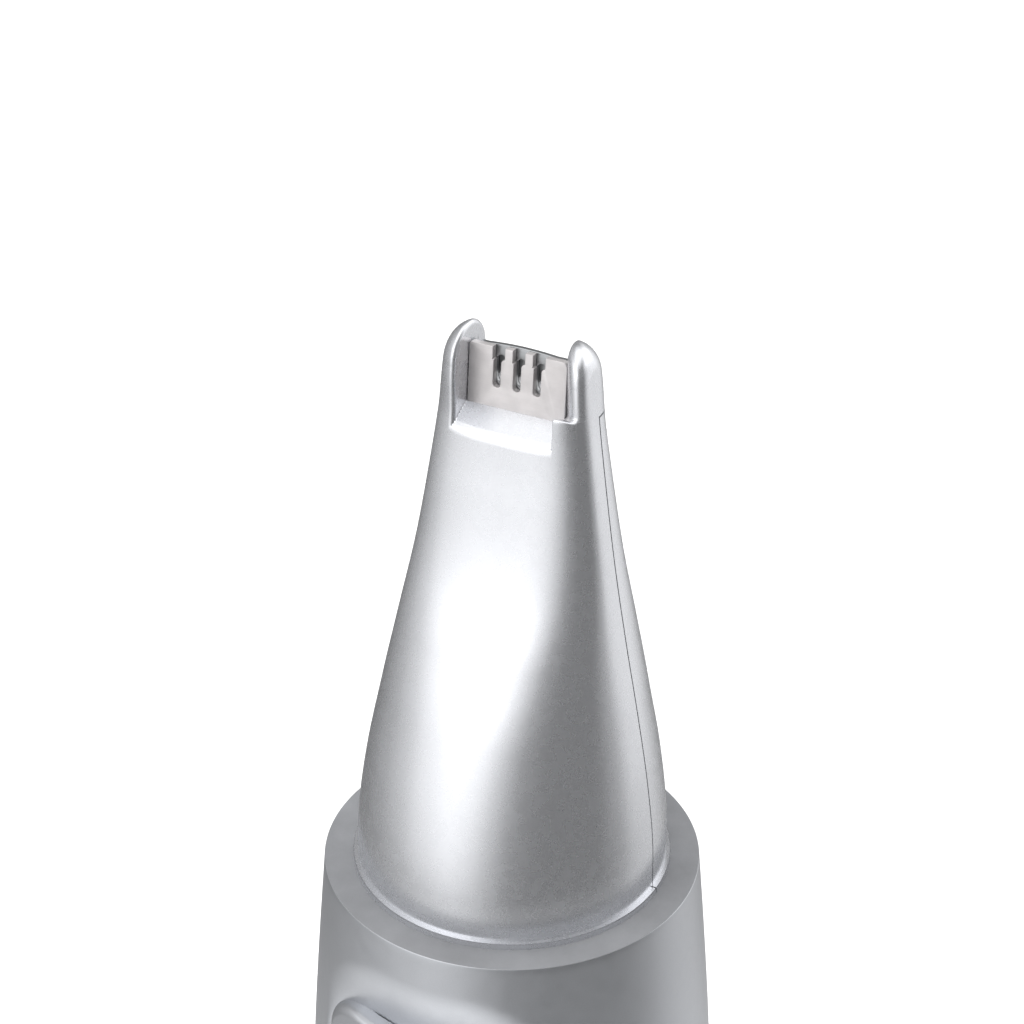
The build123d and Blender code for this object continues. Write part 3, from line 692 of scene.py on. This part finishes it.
# Battery cap: a turned cup with a rounded foot, a shallow recess under it and a seal groove
CAP_FOOT = 10.6
CAP_FOOT_ROUNDING = 2.0
CAP_RECESS = (8.2, 0.35)
CAP_SPIGOT = (10.1, 27.0)
CAP_BORE = 9.15
CAP_FLOOR = 2.2
CAP_ROUNDING = 0.15
CAP_SEGMENTS = 256
CAP_AXIS = 0.01
RECESS_TAPER = 0.2
GROOVE_DEPTH = 0.25
GROOVE_BOTTOM, GROOVE_TOP = 24.35, 24.85
FOOT_ROWS = 14
SIDE_ROWS = 60
SIDE_END = 0.985
foot = [
    (CAP_FOOT - CAP_FOOT_ROUNDING * (1 - sin(t)), CAP_FOOT_ROUNDING * (1 - cos(t)))
    for t in np.linspace(0, pi / 2, FOOT_ROWS)
]
side = [
    (CAP_FOOT + (BODY[0][1] - CAP_FOOT) * (1.5 * t - 0.5 * t**3),
     CAP_FOOT_ROUNDING + (JOINT - CAP_FOOT_ROUNDING) * t)
    for t in np.linspace(0, SIDE_END, SIDE_ROWS)[1:]
]
cap_corners = [
    side[-1], (BODY[0][1], JOINT), (CAP_SPIGOT[0], JOINT),
    (CAP_SPIGOT[0], GROOVE_BOTTOM), (CAP_SPIGOT[0] - GROOVE_DEPTH, GROOVE_BOTTOM),
    (CAP_SPIGOT[0] - GROOVE_DEPTH, GROOVE_TOP), (CAP_SPIGOT[0], GROOVE_TOP),
    CAP_SPIGOT, (CAP_BORE, CAP_SPIGOT[1]), (CAP_BORE, CAP_FLOOR), (CAP_AXIS, CAP_FLOOR),
    (CAP_AXIS, CAP_RECESS[1]), CAP_RECESS, (CAP_RECESS[0] + RECESS_TAPER, 0.0), foot[0],
]
cap_profile = foot + side[:-1] + rounded(cap_corners, CAP_ROUNDING)[ARC_STEPS:-ARC_STEPS]
cap = lathe("battery_cap", cap_profile, np.linspace(0, 2 * pi, CAP_SEGMENTS, endpoint=False))
cap = weighted(cap)
finished(cap, "battery_cap_lacquered", "cap", "battery_cap",
         materials["grey_lacquer"])


def slider_field(x, y, z):
    """The slide switch's pad, its three ribs and the stem that passes through the housing."""
    radial = np.hypot(x, y) - body_radius(z)
    pad = round_and(outline(x, z, *PAD), radial - PAD_HEIGHT, PAD_ROUNDING)
    solid = np.maximum(pad, -radial - SCOOP_DEPTH + PAD_GAP)
    for height in RIB_HEIGHTS:
        bar = outline(x, z, RIB[0], height - RIB[1], height + RIB[1], RIB[1] - 0.01)
        bar = round_and(bar, radial - PAD_HEIGHT - RIB[2], RIB_ROUNDING)
        solid = round_or(solid, np.maximum(bar, -radial), RIB_FILLET)
    from_middle = np.abs(z - (STEM[1] + STEM[2]) / 2)
    stem = np.maximum(np.abs(x) - STEM[0], from_middle - (STEM[2] - STEM[1]) / 2)
    stem = np.maximum(stem, np.maximum(-STEM_DEPTHS[0] - y, y + STEM_DEPTHS[1]))
    return np.where(y < 0, np.minimum(solid, stem), 1.0)


SLIDER_REACH = 0.08
pad_x = spaced((-7.0, 7.0, FINE))
pad_y = spaced((-13.2, -7.2, FINE))
pad_z = spaced((PAD[1] - MARGIN, PAD[2] + MARGIN, FINE))
points, faces = surface_net(slider_field, pad_x, pad_y, pad_z)
points = settle(slider_field, points, SLIDER_REACH)
slider = mesh_from("switch_slider", points, faces)
true_normals(slider, slider_field)
finished(slider, "switch_slider_lacquered", "switch", "switch_slider",
         materials["grey_lacquer"])

# ---------------------------------------------------------------- blades

# Each blade's bottom and top, up the guard's face, and its thickness
BLADE_HALF_WIDTH = 2.78
GUARD = (-1.35, 3.28, 0.42)
GUARD_CORNER = 0.35
CUTTER_HALF_WIDTH = 2.35
CUTTER = (-2.58, 3.2, 0.28)
CUTTER_CROWN = 0.14
BACKING = (-1.35, 3.1, 0.3)
SLIDE_GAP = 0.03
SLOTS = (-1.145, 0.0, 1.145)
SLOT_RADIUS = 0.215
SLOT_FOOT = 1.29
SLOT_SHOULDER = 2.6
MOUTH_LEFT = 0.08
MOUTH_LEFT_FOOT = 0.1
MOUTH_RIGHT = 0.2
MOUTH_RIGHT_FOOT = 0.15
LEFT_CORNER = 0.12
# The windows' bottom, their top in the cutter and the radius of their ends
WINDOW = (1.2, 2.72, 0.25)
BACKING_WINDOW_TOP = 1.7
BLADE_EDGE = 0.03
BLADE_SHARP_ANGLE = radians(40)


def arc(centre, radius, start, end, steps=9):
    """Points on an arc, by angles in degrees."""
    turns = np.radians(np.linspace(start, end, steps))
    return [(centre[0] + radius * cos(t), centre[1] + radius * sin(t)) for t in turns]


def guard_outline():
    """Guard blade's outline, anticlockwise, with slots that open upwards."""
    low, high, _ = GUARD
    w = BLADE_HALF_WIDTH
    made = [(-w, low), (w, low)] + arc((w - GUARD_CORNER, high - GUARD_CORNER), GUARD_CORNER, 0, 90)
    for x in reversed(SLOTS):
        right = x + SLOT_RADIUS
        left = x - SLOT_RADIUS
        made += [(right + MOUTH_RIGHT, high)]
        made += arc((right + MOUTH_RIGHT, SLOT_SHOULDER - MOUTH_RIGHT_FOOT), MOUTH_RIGHT, 90, 180, 7)
        made += arc((x, SLOT_FOOT), SLOT_RADIUS, 0, -180, 13)
        made += arc((left - MOUTH_LEFT, SLOT_SHOULDER - MOUTH_LEFT_FOOT), MOUTH_LEFT, 0, 90, 5)
        made += [(left - MOUTH_LEFT, high)]
    return made + arc((-w + LEFT_CORNER, high - LEFT_CORNER), LEFT_CORNER, 90, 180, 4)


def windows(high):
    """Closed slots through a blade behind the guard, up to a height."""
    low, _, r = WINDOW
    return [arc((x, high - r), r, 0, 180) + arc((x, low + r), r, 180, 360) for x in SLOTS]


def cutter_outline():
    """Cutter's outline: a plain strip with a crowned top."""
    low, high, _ = CUTTER
    w = CUTTER_HALF_WIDTH
    crown = [(x, high + CUTTER_CROWN * (1 - (x / w) ** 2)) for x in np.linspace(w, -w, 25)]
    return [(-w, low), (w, low)] + crown


def backing_outline():
    """Backing plate's outline, with rounded upper corners."""
    low, high, _ = BACKING
    w, r = BLADE_HALF_WIDTH, GUARD_CORNER
    shoulders = arc((w - r, high - r), r, 0, 90) + arc((r - w, high - r), r, 90, 180)
    return [(-w, low), (w, low)] + shoulders


def blade(name, loops, depth, thickness):
    """Flat blade with fine bevelled edges, standing at a depth behind the guard's face."""
    curve = bpy.data.curves.new(name, "CURVE")
    curve.dimensions = "2D"
    curve.fill_mode = "BOTH"
    curve.extrude = (thickness / 2 - BLADE_EDGE) * MM
    curve.bevel_depth = BLADE_EDGE * MM
    curve.bevel_resolution = 2
    curve.offset = -BLADE_EDGE * MM
    for loop in loops:
        spline = curve.splines.new("POLY")
        spline.points.add(len(loop) - 1)
        for point, (x, y) in zip(spline.points, loop):
            point.co = (x * MM, y * MM, 0, 1)
        spline.use_cyclic_u = True
    holder = bpy.data.objects.new(name, curve)
    bpy.context.scene.collection.objects.link(holder)
    graph = bpy.context.evaluated_depsgraph_get()
    mesh = bpy.data.meshes.new_from_object(holder.evaluated_get(graph))
    bpy.data.objects.remove(holder)
    tidy = bmesh.new()
    tidy.from_mesh(mesh)
    bmesh.ops.remove_doubles(tidy, verts=tidy.verts, dist=WELD)
    bmesh.ops.recalc_face_normals(tidy, faces=tidy.faces)
    tidy.to_mesh(mesh)
    tidy.free()
    foot = Vector((BLADE_FOOT[0], BLADE_FOOT[1], COLLAR + BLADE_FOOT[2])) * MM
    up = Vector((0, sin(BLADE_LEAN), cos(BLADE_LEAN)))
    front = Vector((0, -cos(BLADE_LEAN), sin(BLADE_LEAN)))
    middle = foot - front * (depth + thickness / 2) * MM
    turn = Matrix((Vector((1, 0, 0)), up, front)).transposed().to_4x4()
    mesh.transform(Matrix.Translation(middle) @ turn)
    mesh.polygons.foreach_set("use_smooth", np.ones(len(mesh.polygons), bool))
    mesh.set_sharp_from_angle(angle=BLADE_SHARP_ANGLE)
    return mesh


cutter_depth = GUARD[2] + SLIDE_GAP
backing_depth = cutter_depth + CUTTER[2] + SLIDE_GAP
guard = blade("guard_blade", [guard_outline()], 0.0, GUARD[2])
cutter = blade("cutting_blade", [cutter_outline()] + windows(WINDOW[1]), cutter_depth, CUTTER[2])
backing_loops = [backing_outline()] + windows(BACKING_WINDOW_TOP)
backing = blade("backing_plate", backing_loops, backing_depth, BACKING[2])
finished(guard, "guard_blade_ground", "head", "guard_blade",
         materials["blade_steel"])
finished(cutter, "cutting_blade_ground", "cutter", "cutting_blade",
         materials["dark_steel"])
finished(backing, "backing_plate_ground", "head", "backing_plate",
         materials["dark_steel"])

# ---------------------------------------------------------------- studio

FLOOR_SIZE = 6.0
floor_mesh = bpy.data.meshes.new("floor")
half = FLOOR_SIZE / 2
corners = [(-half, -half, 0), (half, -half, 0), (half, half, 0), (-half, half, 0)]
floor_mesh.from_pydata(corners, [], [(0, 1, 2, 3)])
floor = bpy.data.objects.new("floor", floor_mesh)
bpy.context.scene.collection.objects.link(floor)
paper = Recipe("paper_floor", (0.9, 0.9, 0.9), 0.0, 0.8)
paper.tint(paper.noise(40.0, 3.0), 0.004)
floor_mesh.materials.append(paper.material)
floor.visible_glossy = False

# The room's light by direction, round from behind on the left, through the front at 0, with +X
# at 90 degrees: a broad softbox to the left front, a dark gap, and a softbox to the right.
ROUND = (
    (-180, 0.7), (-160, 0.24), (-134, 0.22), (-110, 0.36), (-85, 0.6), (-62, 1.0), (-40, 1.7),
    (-18, 2.2), (-4, 1.8), (8, 1.0), (24, 0.32), (44, 0.17), (90, 0.17), (110, 0.6),
    (128, 1.7), (150, 2.0), (165, 1.5), (180, 0.7),
)
# Share of that light by elevation, and what the ceiling and the ground add to it
SIDES = (
    (-90, 0.15), (-48, 0.2), (-30, 0.35), (-20, 0.62), (-6, 0.78), (6, 0.86), (22, 1.5),
    (36, 1.1), (60, 0.4),
)
ENDS = ((-90, 1.4), (-62, 1.5), (-45, 0.9), (-32, 0.1), (38, 0.0), (50, 0.6), (62, 1.5), (90, 1.8))
WORLD_BRIGHTNESS = 2.5


def direction_ramp(nodes, links, factor, stops, span):
    """Grey ramp over an angle from -span to span degrees, its values halved to fit below 1."""
    ramp = nodes.new("ShaderNodeValToRGB")
    ramp.color_ramp.interpolation = "EASE"
    elements = ramp.color_ramp.elements
    while len(elements) < len(stops):
        elements.new(0.5)
    for element, (angle, level) in zip(elements, stops):
        element.position = (angle + span) / (2 * span)
    for element, (angle, level) in zip(elements, stops):
        element.color = [level / WORLD_BRIGHTNESS] * 3 + [1]
    links.new(factor, ramp.inputs["Fac"])
    return ramp.outputs["Color"]


world = bpy.data.worlds.new("studio")
bpy.context.scene.world = world
world.use_nodes = True
nodes, links = world.node_tree.nodes, world.node_tree.links
nodes.clear()


def maths(operation, *values):
    """Math node on links or plain numbers."""
    node = nodes.new("ShaderNodeMath")
    node.operation = operation
    for socket, value in zip(node.inputs, values):
        if isinstance(value, (int, float)):
            socket.default_value = value
        else:
            links.new(value, socket)
    return node.outputs[0]


direction = nodes.new("ShaderNodeSeparateXYZ")
links.new(nodes.new("ShaderNodeTexCoord").outputs["Generated"], direction.inputs["Vector"])
dx, dy, dz = direction.outputs
azimuth = maths("DIVIDE", maths("ARCTAN2", dx, maths("MULTIPLY", dy, -1.0)), 2 * pi)
azimuth = maths("ADD", azimuth, 0.5)
elevation = maths("ADD", maths("DIVIDE", maths("ARCSINE", dz), pi), 0.5)
around = direction_ramp(nodes, links, azimuth, ROUND, 180)
sides = direction_ramp(nodes, links, elevation, SIDES, 90)
ends = direction_ramp(nodes, links, elevation, ENDS, 90)
level = maths("MULTIPLY", maths("MULTIPLY", around, sides), WORLD_BRIGHTNESS * WORLD_BRIGHTNESS)
level = maths("ADD", level, maths("MULTIPLY", ends, WORLD_BRIGHTNESS))
room = nodes.new("ShaderNodeBackground")
links.new(level, room.inputs["Strength"])
backdrop = nodes.new("ShaderNodeBackground")
backdrop.inputs["Strength"].default_value = 1.0
backdrop.inputs["Color"].default_value = (1, 1, 1, 1)
mix = nodes.new("ShaderNodeMixShader")
links.new(nodes.new("ShaderNodeLightPath").outputs["Is Camera Ray"], mix.inputs["Fac"])
links.new(room.outputs[0], mix.inputs[1])
links.new(backdrop.outputs[0], mix.inputs[2])
links.new(mix.outputs[0], nodes.new("ShaderNodeOutputWorld").inputs["Surface"])


def softbox(name, size, place, power):
    """Square area light that faces the middle of the trimmer."""
    light = bpy.data.lights.new(name, "AREA")
    light.size = size
    light.energy = power
    lamp = bpy.data.objects.new(name, light)
    bpy.context.scene.collection.objects.link(lamp)
    lamp.location = place
    lamp.rotation_euler = (Vector((0, 0, 0.07)) - lamp.location).to_track_quat("-Z", "Y").to_euler()
    return lamp


overhead = softbox("overhead_softbox", 1.2, (-0.2, -0.1, 1.4), 14.0)
overhead.visible_glossy = False

# ---------------------------------------------------------------- camera

AZIMUTH = radians(27.03)
PITCH = radians(30.42)
DISTANCE = 0.14203
AIM = Vector((0, 0, (COLLAR + 21.86) * MM))
LENS = 95.98

camera = bpy.data.objects.new("camera", bpy.data.cameras.new("camera"))
bpy.context.scene.collection.objects.link(camera)
back = Vector((sin(AZIMUTH) * cos(PITCH), -cos(AZIMUTH) * cos(PITCH), sin(PITCH)))
camera.location = AIM + back * DISTANCE
camera.rotation_euler = (-back).to_track_quat("-Z", "Y").to_euler()
camera.data.lens = LENS
camera.data.clip_start = 0.01
bpy.context.scene.camera = camera
bpy.context.scene.view_settings.view_transform = "Standard"
